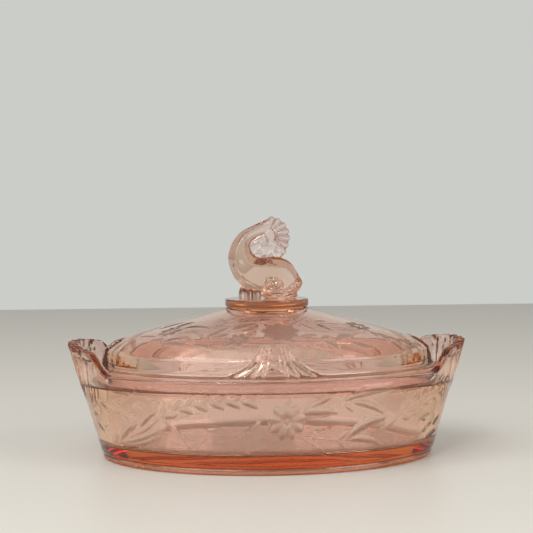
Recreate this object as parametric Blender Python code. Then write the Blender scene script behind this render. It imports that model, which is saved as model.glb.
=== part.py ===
"""Oval covered candy dish of pressed pink glass: a flared dish with a fan handle at each end, and a
domed lid with a dolphin finial that rests on a ledge inside the dish's rim.

Frame: metres, +Z up. The origin is under the middle of the dish, on the surface that it stands on.
X runs from handle to handle, and the dolphin faces +X.
"""

import math

import bmesh
import bpy
from mathutils import Vector

MM = 0.001

# The oval that the whole plan is offset from is the outline of the foot.
FOOT_HALF_LENGTH = 69.2 * MM
FOOT_HALF_WIDTH = 50.7 * MM
END_FLARE = math.tan(math.radians(16.0))
SIDE_FLARE = math.tan(math.radians(10.0))

# Dish
FOOT_HEIGHT = 2.2 * MM
RECESS_DEPTH = 0.9 * MM
FLOOR_HEIGHT = 7.2 * MM
RIM_HEIGHT = 34.0 * MM
RIM_BAND = 3.1 * MM
END_RIM_THICKNESS = 4.4 * MM
SIDE_RIM_THICKNESS = 3.2 * MM
LEDGE_HEIGHT = 32.2 * MM
MOUTH_OFFSET = -0.2 * MM

# Fan handles
HANDLE_LIFT = 11.0 * MM
HANDLE_HALF_WIDTH = 27.0 * MM
HANDLE_CROWN = 0.22
LOBE_PITCH = 7.0 * MM
LOBE_DEPTH = 1.7 * MM
LOBE_ZONE = 22.0 * MM
FLUTE_DEPTH = 0.8 * MM
FLUTE_START = 16.0 * MM

# Lid
SEAT_GAP = 0.3 * MM
FLANGE_OFFSET = 2.3 * MM
FLANGE_THICKNESS = 5.1 * MM
SKIRT_OFFSET = -1.6 * MM
SKIRT_DEPTH = 2.3 * MM
STEP_HEIGHT = 6.3 * MM
SHOULDER_OFFSET = -1.6 * MM
LID_WALL = 3.3 * MM
LID_CROWN = 3.0 * MM  # how much thicker the wall is at the middle
DOME_RISE = 18.0 * MM
DOME_ROUNDING = 3.8 * MM
DOME_ROUNDING_POWER = 24

# Ribs that run down from the dome over the step, in a pair of bundles at each side of the lid
RIB_HEIGHT = 1.0 * MM
RIB_TOPS = (2.4 * MM, 3.8 * MM, 5.2 * MM)
RIB_FEET = (6.0 * MM, 11.0 * MM, 19.0 * MM)
RIB_TOP_HALF_WIDTH = 0.8 * MM
RIB_FOOT_HALF_WIDTH = 1.6 * MM
RIB_SWEEP = 1.6  # how late the ribs curve out
RIB_START_SHARE = 0.86
END_RIB_SCALE = 0.8

# Finial plate and its neck
NECK_RADIUS = 16.6 * MM
PLATE_RADIUS = 17.5 * MM
PLATE_UNDERSIDE = 61.9 * MM
PLATE_THICKNESS = 3.1 * MM
PLATE_EDGE = 0.35 * MM

# Dolphin, measured from the middle of the plate's top
SINK = 1.4 * MM
TAIL_THICKNESS = 3.6 * MM
WEB_THICKNESS = 2.4 * MM

PINK = (0.93, 0.55, 0.45, 0.35)
GLASS_IOR = 1.52


def clear_scene():
    for obj in list(bpy.data.objects):
        bpy.data.objects.remove(obj)


def glass_material(name):
    """Pink pressed glass."""
    material = bpy.data.materials.new(name)
    material.use_nodes = True
    shader = material.node_tree.nodes["Principled BSDF"]
    shader.inputs["Base Color"].default_value = PINK
    shader.inputs["Roughness"].default_value = 0.03
    shader.inputs["Metallic"].default_value = 0.0
    shader.inputs["IOR"].default_value = GLASS_IOR
    shader.inputs["Transmission Weight"].default_value = 1.0
    material.diffuse_color = PINK
    return material


def smoothstep(value):
    value = min(1.0, max(0.0, value))
    return value * value * (3 - 2 * value)


def blend(start, end, share):
    return start + (end - start) * share


# ---------------------------------------------------------------- plan


def oval_point(turn, offset):
    """The point of the foot's oval at parameter turn, pushed out by offset along the oval's normal."""
    normal = Vector((math.cos(turn) / FOOT_HALF_LENGTH, math.sin(turn) / FOOT_HALF_WIDTH))
    normal.normalize()
    point = Vector((FOOT_HALF_LENGTH * math.cos(turn), FOOT_HALF_WIDTH * math.sin(turn)))
    return point + offset * normal


def round_the_oval(zones):
    """Oval parameters once round, from zones = [(quarter turn parameter it ends at, steps), ...]."""
    quarter, start = [], 0.0
    for end, steps in zones:
        quarter += [blend(start, end, step / steps) for step in range(steps)]
        start = end
    mirrored = [math.pi - turn for turn in [*quarter[1:], math.pi / 2]]
    half = [*quarter, *sorted(mirrored)]
    return [*half, *(turn + math.pi for turn in half)]


def solid_from_rings(name, rings, material):
    """One closed mesh from rings of equally many points, with a flat face inside the first and last."""
    mesh = bpy.data.meshes.new(name)
    bm = bmesh.new()
    loops = [[bm.verts.new(point) for point in ring] for ring in rings]
    for lower, upper in zip(loops, loops[1:]):
        for index, corner in enumerate(lower):
            after = (index + 1) % len(lower)
            bm.faces.new((corner, lower[after], upper[after], upper[index]))
    bm.faces.new(reversed(loops[0]))
    bm.faces.new(loops[-1])
    bmesh.ops.recalc_face_normals(bm, faces=bm.faces)
    bm.to_mesh(mesh)
    bm.free()
    mesh.shade_smooth()
    mesh.set_sharp_from_angle(angle=math.radians(40))
    mesh.materials.append(material)
    obj = bpy.data.objects.new(name, mesh)
    bpy.context.scene.collection.objects.link(obj)
    return obj


# ---------------------------------------------------------------- dish


def side_to_end(turn, at_side, at_end):
    """A value that changes round the dish from its long sides to its ends."""
    return blend(at_side, at_end, math.cos(turn) ** 2)


def wall_offset(turn, height):
    """How far the dish's outer wall stands out from the foot's oval at a height."""
    return 0.6 * MM + (height - FOOT_HEIGHT) * side_to_end(turn, SIDE_FLARE, END_FLARE)


def lobe(distance, pitch):
    """1 at the middle of each scallop and 0 at the notch between two."""
    return math.cos(math.pi * distance / pitch) ** 2


def in_lobes(distance):
    """1 over the fan's scallops, fading to 0 beside them."""
    return smoothstep((LOBE_ZONE + 2 * MM - abs(distance)) / (4 * MM))


def handle_lift(across):
    """How far the rim rises above the plain rim at a distance across from the dish's long axis."""
    share = abs(across) / HANDLE_HALF_WIDTH
    crown = 1 - HANDLE_CROWN * min(share, 1) ** 3
    shoulder = smoothstep((1.24 - share) / 0.3)
    notch = LOBE_DEPTH * (lobe(across, LOBE_PITCH) - 1) * in_lobes(across)
    return HANDLE_LIFT * crown * shoulder + notch


def flute(across, height):
    """How far the fan's flutes stand out from the wall. They draw together as they run down."""
    rise = (height - FLUTE_START) / (RIM_HEIGHT + HANDLE_LIFT - FLUTE_START)
    if rise <= 0:
        return 0.0
    spread = across / blend(0.45, 1.0, min(rise, 1))
    wave = lobe(spread, LOBE_PITCH) - 0.6
    return FLUTE_DEPTH * wave * in_lobes(spread) * smoothstep(rise)


def dish_section(turn, across):
    """One upright section of the dish as [(offset, height, flute share)], underside to floor."""
    edge = RIM_HEIGHT + handle_lift(across)
    out = wall_offset(turn, edge)
    thickness = side_to_end(turn, SIDE_RIM_THICKNESS, END_RIM_THICKNESS)
    ledge_end = wall_offset(turn, LEDGE_HEIGHT) - thickness
    section = [
        (-8.0 * MM, RECESS_DEPTH, 0),
        (-6.8 * MM, 0.0, 0),
        (-1.6 * MM, 0.0, 0),
        (-0.5 * MM, 0.5 * MM, 0),
        (0.0, 1.5 * MM, 0),
        (0.0, FOOT_HEIGHT, 0),
        (0.6 * MM, FOOT_HEIGHT + 0.4 * MM, 0),
    ]
    for share in (0.4, 0.75):
        height = blend(FOOT_HEIGHT, edge, share)
        section.append((wall_offset(turn, height), height, 1))
    section += [
        (out, edge, 1),
        (out - 0.5 * MM, edge + 0.5 * RIM_BAND, 1),
        (out - 0.4 * thickness, edge + RIM_BAND, 0.5),
        (out - 0.8 * thickness, edge + RIM_BAND, 0),
        (out - thickness, edge + 0.7 * RIM_BAND, 0),
        (blend(ledge_end, out - thickness, 0.4), blend(LEDGE_HEIGHT, edge + RIM_BAND, 0.4), 0),
        (ledge_end, LEDGE_HEIGHT, 0),
        (MOUTH_OFFSET, LEDGE_HEIGHT, 0),
        (-2.0 * MM, 21.0 * MM, 0),
        (-3.4 * MM, FLOOR_HEIGHT + 3.8 * MM, 0),
        (-4.6 * MM, FLOOR_HEIGHT + 1.2 * MM, 0),
        (-7.5 * MM, FLOOR_HEIGHT, 0),
    ]
    return section


def make_dish(material):
    handle_zone = math.asin(34.0 * MM / (FOOT_HALF_WIDTH + wall_offset(math.pi / 2, RIM_HEIGHT)))
    columns = []
    for turn in round_the_oval([(handle_zone, 20), (math.pi / 2, 6)]):
        across = oval_point(turn, wall_offset(turn, RIM_HEIGHT)).y
        column = []
        for offset, height, flute_share in dish_section(turn, across):
            swell = flute_share * flute(across, height)
            point = oval_point(turn, offset + swell)
            column.append((point.x, point.y, height))
        columns.append(column)
    return solid_from_rings("dish", list(zip(*columns)), material)


# ---------------------------------------------------------------- lid


FLANGE_UNDERSIDE = LEDGE_HEIGHT + SEAT_GAP
FLANGE_TOP = FLANGE_UNDERSIDE + FLANGE_THICKNESS
SHOULDER_HEIGHT = FLANGE_TOP + STEP_HEIGHT
PLATE_TOP = PLATE_UNDERSIDE + PLATE_THICKNESS
DOME_PEAK = SHOULDER_HEIGHT + DOME_RISE + DOME_ROUNDING


def dome_height(point):
    """The dome's height over a point of the plan: a shallow cone that rounds down to the shoulder."""
    share = math.hypot(
        point.x / (FOOT_HALF_LENGTH + SHOULDER_OFFSET), point.y / (FOOT_HALF_WIDTH + SHOULDER_OFFSET)
    )
    return DOME_PEAK - DOME_RISE * share - DOME_ROUNDING * share**DOME_ROUNDING_POWER


def rib(distance, share):
    """The ribs' height, from 0 to 1, beside the middle of their bundles. share runs down from the ribs'
    start on the dome, 0, to the flange, 1."""
    if not 0 < share <= 1:
        return 0.0
    half_width = blend(RIB_TOP_HALF_WIDTH, RIB_FOOT_HALF_WIDTH, share)
    tallest = 0.0
    for top, foot in zip(RIB_TOPS, RIB_FEET):
        away = (abs(distance) - blend(top, foot, share**RIB_SWEEP)) / half_width
        tallest = max(tallest, math.cos(min(1, abs(away)) * math.pi / 2))
    return tallest * smoothstep(share * 3)


def ribs_at(turn, share):
    """Rib height over the lid's oval at a parameter: full bundles front and back, smaller at the ends."""
    point = oval_point(turn, 0)
    if abs(math.sin(turn)) > math.sqrt(0.5):
        return RIB_HEIGHT * rib(point.x, share)
    return RIB_HEIGHT * END_RIB_SCALE * rib(point.y / END_RIB_SCALE, share)


def circle_point(turn, radius):
    return Vector((radius * math.cos(turn), radius * math.sin(turn)))


def lid_column(turn):
    """One upright section of the lid, from the hollow under the dome, round the flange, to the plate."""
    shoulder = oval_point(turn, SHOULDER_OFFSET)
    neck = circle_point(turn, NECK_RADIUS)
    column = []

    def add(point, height):
        column.append((point.x, point.y, height))

    for share in (0.1, 0.4, 0.7, 0.9):
        inside = shoulder * share
        add(inside, dome_height(inside) - LID_WALL - LID_CROWN * (1 - share) ** 2)
    add(oval_point(turn, -5.2 * MM), SHOULDER_HEIGHT - 0.6 * MM)
    add(oval_point(turn, -4.6 * MM), FLANGE_TOP - 1.5 * MM)
    skirt_foot = FLANGE_UNDERSIDE - SKIRT_DEPTH
    for offset, height in (
        (SKIRT_OFFSET - 2.4 * MM, skirt_foot),
        (SKIRT_OFFSET, skirt_foot),
        (SKIRT_OFFSET, FLANGE_UNDERSIDE),
        (FLANGE_OFFSET - 0.4 * MM, FLANGE_UNDERSIDE),
        (FLANGE_OFFSET, FLANGE_UNDERSIDE + 0.4 * MM),
        (FLANGE_OFFSET, FLANGE_TOP - 1.0 * MM),
        (FLANGE_OFFSET - 0.9 * MM, FLANGE_TOP),
    ):
        add(oval_point(turn, offset), height)
    rib_length = (1 - RIB_START_SHARE) * (FOOT_HALF_WIDTH + SHOULDER_OFFSET)
    for offset, height in (
        (-0.5 * MM, FLANGE_TOP),
        (-0.9 * MM, FLANGE_TOP + 0.6 * MM),
        (-1.2 * MM, blend(FLANGE_TOP, SHOULDER_HEIGHT, 0.75)),
        (SHOULDER_OFFSET, SHOULDER_HEIGHT),
    ):
        down = (rib_length + SHOULDER_HEIGHT - height) / (rib_length + STEP_HEIGHT)
        add(oval_point(turn, offset + ribs_at(turn, down)), height)
    for share in (0.99, 0.97, 0.94, 0.9, 0.86, 0.7, 0.5):
        point = shoulder * share + neck * (1 - share) * 0.3
        down = (1 - share) / (1 - RIB_START_SHARE) * rib_length / (rib_length + STEP_HEIGHT)
        bump = ribs_at(turn, rib_length / (rib_length + STEP_HEIGHT) - down)
        add(point, dome_height(point) + bump)
    for radius, lift in ((1.8 * MM, 0.0), (0.5 * MM, 0.25 * MM)):
        point = circle_point(turn, NECK_RADIUS + radius)
        add(point, dome_height(point) + lift)
    for radius, height in (
        (NECK_RADIUS, PLATE_UNDERSIDE - 0.5 * MM),
        (NECK_RADIUS + 0.4 * MM, PLATE_UNDERSIDE),
        (PLATE_RADIUS - PLATE_EDGE, PLATE_UNDERSIDE),
        (PLATE_RADIUS, PLATE_UNDERSIDE + PLATE_EDGE),
        (PLATE_RADIUS, PLATE_TOP - PLATE_EDGE),
        (PLATE_RADIUS - PLATE_EDGE, PLATE_TOP),
    ):
        add(circle_point(turn, radius), height)
    return column


def make_lid(material):
    end_zone = math.asin(13.0 * MM / FOOT_HALF_WIDTH)
    side_zone = math.acos(20.0 * MM / FOOT_HALF_LENGTH)
    turns = round_the_oval([(end_zone, 5), (side_zone, 7), (math.pi / 2, 9)])
    rings = list(zip(*[lid_column(turn) for turn in turns]))
    return solid_from_rings("lid", rings, material)


# ---------------------------------------------------------------- dolphin finial


def helper(name, mesh):
    """A shape that a Boolean joins to the lid. It isn't a piece of its own."""
    obj = bpy.data.objects.new(name, mesh)
    bpy.context.scene.collection.objects.link(obj)
    obj.hide_render = True
    obj.display_type = "WIRE"
    return obj


def between(p, q, r, s, t):
    """The Catmull-Rom value a share t of the way from q to r, with p before them and s after."""
    return 0.5 * (2 * q + (r - p) * t + (2 * p - 5 * q + 4 * r - s) * t**2 + (3 * q - p - 3 * r + s) * t**3)


def curve_through(points, per_span):
    """A smooth Catmull-Rom line through points of any length, with per_span steps in each span."""
    ends = [points[0], *points, points[-1]]
    line = []
    for span in zip(ends, ends[1:], ends[2:], ends[3:]):
        for step in range(per_span):
            line.append([between(*values, step / per_span) for values in zip(*span)])
    line.append(points[-1])
    return line


# The dolphin's spine from mouth to tail root: x, z, half height in its plane, half thickness across it
SPINE = (
    (14.6 * MM, 6.4 * MM, 0.9 * MM, 1.2 * MM),
    (12.2 * MM, 7.4 * MM, 3.0 * MM, 2.7 * MM),
    (8.6 * MM, 9.2 * MM, 5.2 * MM, 4.1 * MM),
    (4.2 * MM, 9.6 * MM, 6.7 * MM, 5.0 * MM),
    (-1.2 * MM, 9.4 * MM, 6.2 * MM, 5.0 * MM),
    (-6.4 * MM, 10.8 * MM, 5.4 * MM, 4.7 * MM),
    (-10.2 * MM, 14.4 * MM, 4.6 * MM, 4.3 * MM),
    (-11.8 * MM, 19.0 * MM, 4.1 * MM, 3.9 * MM),
    (-10.8 * MM, 23.6 * MM, 3.7 * MM, 3.5 * MM),
    (-7.6 * MM, 27.2 * MM, 3.3 * MM, 3.0 * MM),
    (-3.4 * MM, 28.9 * MM, 2.9 * MM, 2.5 * MM),
    (0.8 * MM, 29.0 * MM, 2.6 * MM, 2.1 * MM),
)
BODY_SIDES = 12

# The tail fan's outline in the dolphin's plane: its root, then the tip and notch of each lobe
TAIL_ROOT = ((-1.0 * MM, 31.0 * MM), (0.6 * MM, 25.6 * MM))
TAIL_CENTRE = (0.6 * MM, 27.8 * MM)
TAIL_LOBES = 5
TAIL_FIRST_ANGLE = 77.0
TAIL_LAST_ANGLE = -46.0
TAIL_FIRST_REACH = 7.0 * MM
TAIL_LAST_REACH = 11.6 * MM
TAIL_NOTCH = 1.3 * MM

# The web of glass that fills the curl, and the small fins that the dolphin stands on
WEB = (
    (-8.6 * MM, 16.0 * MM),
    (-4.0 * MM, 13.0 * MM),
    (5.4 * MM, 15.0 * MM),
    (5.4 * MM, 16.8 * MM),
    (6.4 * MM, 18.6 * MM),
    (2.4 * MM, 24.6 * MM),
    (-2.0 * MM, 27.4 * MM),
    (-7.0 * MM, 25.2 * MM),
)
FIN_PLACES = (-10.4 * MM, -7.2 * MM, -3.6 * MM)
FIN_HALF_SIZES = (1.9 * MM, 3.0 * MM, 3.4 * MM)
CHIN_PLACE = 3.8 * MM
CHIN_HALF_SIZES = (7.8 * MM, 4.2 * MM, 4.2 * MM)


def dolphin_body():
    """A tube along the spine with a rounded-square section, closed at both ends."""
    stations = curve_through(SPINE, 2)
    mesh = bpy.data.meshes.new("dolphin_body")
    bm = bmesh.new()
    rings = []
    for index, (x, z, tall, thick) in enumerate(stations):
        before, after = stations[max(index - 1, 0)], stations[min(index + 1, len(stations) - 1)]
        along = Vector((after[0] - before[0], 0, after[1] - before[1])).normalized()
        upward = Vector((-along.z, 0, along.x))
        ring = []
        for side in range(BODY_SIDES):
            angle = 2 * math.pi * (side + 0.5) / BODY_SIDES
            c, s = math.cos(angle), math.sin(angle)
            c, s = math.copysign(abs(c) ** 0.85, c), math.copysign(abs(s) ** 0.85, s)
            point = Vector((x, 0, z + PLATE_TOP)) + upward * (c * tall) + Vector((0, s * thick, 0))
            ring.append(bm.verts.new(point))
        rings.append(ring)
    for first, second in zip(rings, rings[1:]):
        for side in range(BODY_SIDES):
            after = (side + 1) % BODY_SIDES
            bm.faces.new((first[side], first[after], second[after], second[side]))
    bm.faces.new(rings[0])
    bm.faces.new(rings[-1])
    bmesh.ops.recalc_face_normals(bm, faces=bm.faces)
    bm.to_mesh(mesh)
    bm.free()
    return helper("dolphin_body", mesh)


def upright_plate(name, outline, thickness):
    """A plate in the dolphin's plane, from its outline in x and z above the finial's plate."""
    mesh = bpy.data.meshes.new(name)
    bm = bmesh.new()
    face = bm.faces.new([bm.verts.new((x, -thickness / 2, z + PLATE_TOP)) for x, z in outline])
    made = bmesh.ops.extrude_face_region(bm, geom=[face])
    moved = [item for item in made["geom"] if isinstance(item, bmesh.types.BMVert)]
    bmesh.ops.translate(bm, verts=moved, vec=(0, thickness, 0))
    bmesh.ops.recalc_face_normals(bm, faces=bm.faces)
    bm.to_mesh(mesh)
    bm.free()
    return helper(name, mesh)


def tail_outline():
    """The fan's outline: rounded lobes that spread from the tail's root."""
    steps = 4 * TAIL_LOBES
    outline = [TAIL_ROOT[0]]
    for step in range(steps + 1):
        share = step / steps
        angle = math.radians(blend(TAIL_FIRST_ANGLE, TAIL_LAST_ANGLE, share))
        reach = blend(TAIL_FIRST_REACH, TAIL_LAST_REACH, math.sin(share * math.pi / 2))
        reach -= TAIL_NOTCH * (1 - abs(math.sin(math.pi * share * TAIL_LOBES)) ** 0.6)
        outline.append((TAIL_CENTRE[0] + reach * math.cos(angle), TAIL_CENTRE[1] + reach * math.sin(angle)))
    outline.append(TAIL_ROOT[1])
    return outline


def rounded_lump(name, centre, half_sizes, sides):
    """A small ball squashed to its half sizes."""
    mesh = bpy.data.meshes.new(name)
    bm = bmesh.new()
    bmesh.ops.create_uvsphere(bm, u_segments=sides, v_segments=sides - 2, radius=1.0)
    bmesh.ops.scale(bm, vec=half_sizes, verts=bm.verts)
    bmesh.ops.translate(bm, vec=centre, verts=bm.verts)
    bm.to_mesh(mesh)
    bm.free()
    return helper(name, mesh)


def dolphin_parts():
    parts = [
        dolphin_body(),
        upright_plate("tail_fan", tail_outline(), TAIL_THICKNESS),
        upright_plate("curl_web", WEB, WEB_THICKNESS),
    ]
    chin_height = PLATE_TOP + CHIN_HALF_SIZES[2] - SINK
    parts.append(rounded_lump("chin", (CHIN_PLACE, 0, chin_height), CHIN_HALF_SIZES, sides=12))
    fin_height = PLATE_TOP + FIN_HALF_SIZES[2] - SINK
    for number, place in enumerate(FIN_PLACES, start=1):
        parts.append(rounded_lump(f"fin_{number}", (place, 0, fin_height), FIN_HALF_SIZES, sides=10))
    return parts


def join_to(obj, parts):
    for part in parts:
        union = obj.modifiers.new(part.name, "BOOLEAN")
        union.operation = "UNION"
        union.solver = "EXACT"
        union.object = part


def main():
    clear_scene()
    glass = glass_material("pink_pressed_glass")
    make_dish(glass)
    lid = make_lid(glass)
    join_to(lid, dolphin_parts())


main()
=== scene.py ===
"""The looks of a covered candy dish of pressed pink glass: the two pieces as fine meshes with their
scallops, flutes, ribs, dolphin finial and wheel-cut leaves, the glass itself, and a plain pale studio.

Lengths in this file are in millimetres until a mesh is made, except where a name says otherwise.
"""

import math

import bpy
import numpy as np
from mathutils import Matrix, Vector


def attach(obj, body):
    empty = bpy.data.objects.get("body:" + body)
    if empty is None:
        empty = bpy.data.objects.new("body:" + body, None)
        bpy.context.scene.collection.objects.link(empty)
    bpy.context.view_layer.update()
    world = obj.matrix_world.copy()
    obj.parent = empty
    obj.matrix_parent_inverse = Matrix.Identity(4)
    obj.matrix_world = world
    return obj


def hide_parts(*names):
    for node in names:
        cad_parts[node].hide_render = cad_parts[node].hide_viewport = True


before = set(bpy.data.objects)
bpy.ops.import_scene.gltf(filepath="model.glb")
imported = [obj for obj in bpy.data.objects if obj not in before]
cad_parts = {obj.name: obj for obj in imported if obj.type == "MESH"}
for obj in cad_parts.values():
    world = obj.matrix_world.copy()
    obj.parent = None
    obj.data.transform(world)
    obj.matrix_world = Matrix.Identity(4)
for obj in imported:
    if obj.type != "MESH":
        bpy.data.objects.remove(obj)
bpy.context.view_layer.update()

MM = 0.001
SHARP_ANGLE = math.radians(38)
FRONT = -math.pi / 2

# The oval of the foot, which the whole plan is offset from
FOOT_HALF_LENGTH = 69.2
FOOT_HALF_WIDTH = 50.7
END_FLARE = math.tan(math.radians(16.0))
SIDE_FLARE = math.tan(math.radians(10.0))

# Dish
FOOT_HEIGHT = 2.2
FOOT_STEP = 0.6
RECESS_DEPTH = 0.9
FLOOR_HEIGHT = 7.2
RIM_HEIGHT = 37.1
END_RIM_THICKNESS = 4.4
SIDE_RIM_THICKNESS = 3.2
LEDGE_HEIGHT = 32.2
DISH_COLUMNS = 1000

# Fan handles
HANDLE_LIFT = 11.0
HANDLE_HALF_WIDTH = 27.0
HANDLE_CROWN = 0.22
LOBE_PITCH = 7.0
LOBE_DEPTH = 2.4
LOBE_ZONE = 23.0
FLUTE_DEPTH = 2.0
FLUTE_START = 22.0

# Lid
SEAT_GAP = 0.3
FLANGE_OFFSET = 2.3
FLANGE_TOP = 37.6
SKIRT_OFFSET = -1.6
SKIRT_DEPTH = 2.3
SHOULDER_HEIGHT = 43.9
SHOULDER_OFFSET = -1.6
LID_WALL = 3.3
LID_SWELL = 0.8
HOLLOW_SHARE = 0.91
HOLLOW_ROUNDING = 6.0
HOLLOW_ROUNDING_POWER = 12
DOME_RISE = 18.0
DOME_ROUNDING = 3.8
DOME_ROUNDING_POWER = 12
NECK_RADIUS = 16.6
PLATE_RADIUS = 17.5
PLATE_UNDERSIDE = 61.9
PLATE_TOP = 65.0
LID_COLUMNS = 624

# Ribs over the lid's step
RIB_HEIGHT = 1.3
RIB_TOPS = (2.4, 3.9, 5.4)
RIB_FEET = (5.5, 10.0, 17.0)
RIB_SWEEP = 2.4
RIB_RUN = 7.0
END_RIB_SCALE = 0.8

# Wheel-cut decoration
CUT_LIMIT = 2.0
CUT_SLOPE = 0.42
CUT_DEEPEST = 0.5
LID_CUT_SHARE = 0.4
GROUND_EDGE = 0.3

# The glass's surface tint, beside the colour in its depth: from 0, none, to 1, the side of the lid's plate
PLAIN_TINT = 0.5
# Above the plain glass's own tint, the values are painted shade: a darker tint for thick, refracting glass
LID_CUT_PAINTED_SHADE = 0.8
HANDLE_PAINTED_SHADE = 0.68
DOLPHIN_EDGE_PAINTED_SHADE = 0.82
# A point of the dolphin counts as edge, and gets painted shade, where it faces front or back by less than
# this
EDGE_FACING = 0.75
EDGE_FADE = 0.2


# ---------------------------------------------------------------- small tools


def smoothstep(value):
    value = np.clip(value, 0.0, 1.0)
    return value * value * (3 - 2 * value)


def blend(start, end, share):
    return start + (end - start) * share


def closed_mesh(name, rings):
    """One closed mesh from rings of points, each (x, y, z) as arrays, with flat end caps. Where two
    rings differ in count, the fine one has a whole number of points to each of the coarse one's."""
    rings = [np.stack(np.broadcast_arrays(*ring), axis=-1) for ring in rings]
    faces, start = [list(range(len(rings[0])))[::-1]], 0
    for ring, following in zip(rings, rings[1:]):
        count, high = len(ring), start + len(ring)
        steps, back_steps = len(following) // count, count // len(following)
        here = np.arange(min(count, len(following)))
        after = (here + 1) % len(here)
        if steps == back_steps:
            faces += np.stack([start + here, start + after, high + after, high + here], axis=-1).tolist()
        for i, j in zip(here, after) if steps > back_steps else ():
            fan = [high + (steps * i + k) % len(following) for k in range(steps, -1, -1)]
            faces.append([start + i, start + j, *fan])
        for i, j in zip(here, after) if back_steps > steps else ():
            fan = [start + (back_steps * i + k) % count for k in range(back_steps + 1)]
            faces.append([*fan, high + j, high + i])
        start = high
    faces.append(list(range(start, start + len(rings[-1]))))
    mesh = bpy.data.meshes.new(name)
    mesh.from_pydata((np.concatenate(rings) * MM).tolist(), [], faces)
    mesh.validate()
    mesh.shade_smooth()
    mesh.set_sharp_from_angle(angle=SHARP_ANGLE)
    return mesh


def new_object(name, mesh):
    obj = bpy.data.objects.new(name, mesh)
    bpy.context.scene.collection.objects.link(obj)
    return obj


def coordinates(mesh):
    """The mesh's vertices as an array of millimetres."""
    flat = np.empty(len(mesh.vertices) * 3)
    mesh.vertices.foreach_get("co", flat)
    return flat.reshape(-1, 3) / MM


def set_coordinates(mesh, points):
    mesh.vertices.foreach_set("co", (points * MM).ravel())
    mesh.update()


def vertex_normals(mesh):
    flat = np.empty(len(mesh.vertices) * 3)
    mesh.vertex_normals.foreach_get("vector", flat)
    return flat.reshape(-1, 3)


def store(mesh, name, values):
    """Keeps a value for each point on the mesh, for the glass material to read."""
    layer = mesh.attributes.new(name, "FLOAT", "POINT")
    layer.data.foreach_set("value", values.astype(np.float32))


def applied(obj):
    """The object's mesh with its modifiers, on the same object."""
    graph = bpy.context.evaluated_depsgraph_get()
    mesh = bpy.data.meshes.new_from_object(obj.evaluated_get(graph))
    obj.modifiers.clear()
    obj.data = mesh
    return mesh


def oval(turn, offset):
    """Points of the foot's oval at parameters turn, pushed out by offset along its normal."""
    nx, ny = np.cos(turn) / FOOT_HALF_LENGTH, np.sin(turn) / FOOT_HALF_WIDTH
    size = np.hypot(nx, ny)
    x = FOOT_HALF_LENGTH * np.cos(turn) + offset * nx / size
    y = FOOT_HALF_WIDTH * np.sin(turn) + offset * ny / size
    return x, y


def section(turns, corners):
    """A section's points (offset, height) at each turn, from its corners [(offset, height, rounding,
    spans to the next corner), ...]. A rounded corner becomes a short curve."""
    places = [np.stack(np.broadcast_arrays(c[0], c[1], turns)[:2]) for c in corners]
    bends = []
    for index, (place, corner) in enumerate(zip(places, corners)):
        rounding = corner[2]
        if not rounding:
            bends.append([place])
            continue
        back, ahead = places[index - 1] - place, places[index + 1] - place
        start = place + back * (rounding / np.hypot(*back))
        end = place + ahead * (rounding / np.hypot(*ahead))
        shares = np.linspace(0, 1, 6 if rounding > 0.7 else 4)
        bends.append([blend(blend(start, place, t), blend(place, end, t), t) for t in shares])
    points = []
    for bend, following, corner in zip(bends, bends[1:], corners):
        points += bend
        points += [blend(bend[-1], following[0], step / corner[3]) for step in range(1, corner[3])]
    return points + bends[-1]


# ---------------------------------------------------------------- wheel-cut decoration


def curve(start, end, bend, count):
    """Points from start to end on an arc that bulges to the left of the way by bend times its length."""
    start, end = np.array(start, float), np.array(end, float)
    way = end - start
    side = np.array([-way[1], way[0]])
    share = np.linspace(0, 1, count)[:, None]
    return start + way * share + side * bend * 4 * share * (1 - share)


def leaf(start, end, bend=0.0, width=1.0):
    """A pointed leaf as discs [x, y, radius] along its middle line."""
    length = math.dist(start, end)
    line = curve(start, end, bend, max(8, int(length / 0.35)))
    share = np.linspace(0, 1, len(line))
    radius = width * np.sin(math.pi * share**0.85) ** 0.8
    return np.column_stack([line, radius])


def stem(points, width=0.32):
    """A thin cut through the points, as discs."""
    lines = []
    for start, end in zip(points, points[1:]):
        line = curve(start, end, 0.0, max(4, int(math.dist(start, end) / 0.3)))
        lines.append(line)
    line = np.concatenate(lines)
    return np.column_stack([line, np.full(len(line), width)])


def smooth_line(points, per_span=6):
    """A smooth line through a few points."""
    points = [np.array(point, float) for point in points]
    ends = [points[0], *points, points[-1]]
    line = []
    for p, q, r, s in zip(ends, ends[1:], ends[2:], ends[3:]):
        for step in range(per_span):
            t = step / per_span
            cubic = (2 * p - 5 * q + 4 * r - s) * t**2 + (3 * q - p - 3 * r + s) * t**3
            line.append(0.5 * (2 * q + (r - p) * t + cubic))
    line.append(points[-1])
    return line


def thin(width, *points):
    """A thin smooth cut through a few points."""
    return stem(smooth_line(points), width)


def on_line(line, place):
    """The point at a distance along a line, and the line's heading there."""
    run = np.concatenate([[0], np.cumsum(np.linalg.norm(np.diff(line, axis=0), axis=1))])
    near = [place - 1, place, place + 1]
    back, here, ahead = np.column_stack([np.interp(near, run, line[:, axis]) for axis in (0, 1)])
    return here, math.atan2(*(ahead - back)[::-1])


def spray(root, *strokes):
    """Leaves from one root, each (direction in degrees, length, bend, half width)."""
    root = np.array(root, float)
    fan = []
    for degrees, length, bend, width in strokes:
        angle = math.radians(degrees)
        tip = root + length * np.array([math.cos(angle), math.sin(angle)])
        fan.append(leaf(root, tip, bend=bend, width=width))
    return fan


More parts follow.
